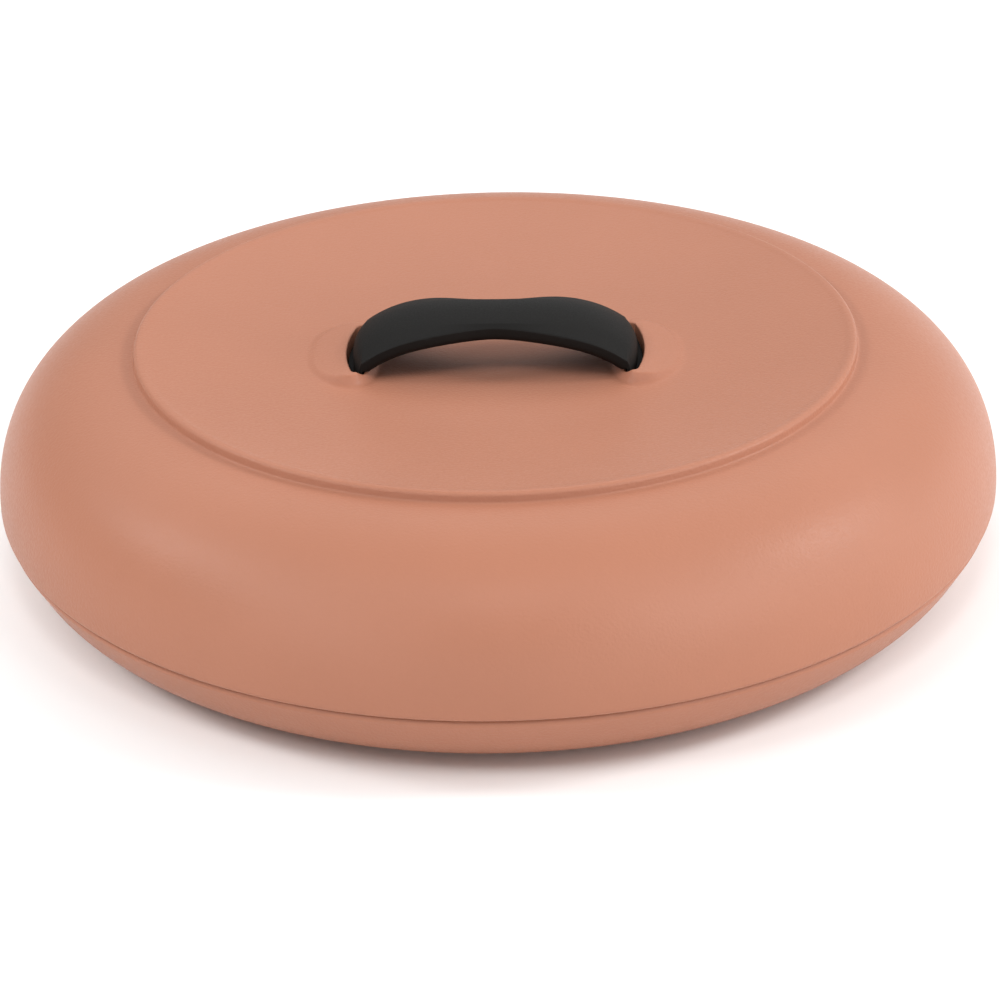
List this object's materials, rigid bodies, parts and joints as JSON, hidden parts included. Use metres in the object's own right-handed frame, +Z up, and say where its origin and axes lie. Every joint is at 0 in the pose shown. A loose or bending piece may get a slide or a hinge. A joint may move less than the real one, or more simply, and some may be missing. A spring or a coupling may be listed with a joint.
{
  "type": "tortilla warmer",
  "caption": "Round, low tortilla warmer: a shallow dish with a foot ring, a domed lid with a dished top that lifts straight off, and an arched strap handle across it.",
  "frame": {"origin": "centre of the round foot ring, on the surface that the dish stands on", "axes": "+Z up along the axis of the dish and the lid, X along the handle"},
  "size_m": [0.264, 0.264, 0.0646],
  "materials": {
    "terracotta_plastic": "fine-grained matte moulded plastic, terracotta pink",
    "black_plastic": "satin black moulded plastic"
  },
  "bodies": {
    "base": {"base_dish": "terracotta_plastic"},
    "lid_assembly": {"lid": "terracotta_plastic", "handle": "black_plastic"}
  },
  "joints": [
    {"name": "lid_lift", "type": "slide", "parent": "base", "child": "lid_assembly", "axis": [0, 0, 1], "range_m": [0, 0.1]}
  ]
}
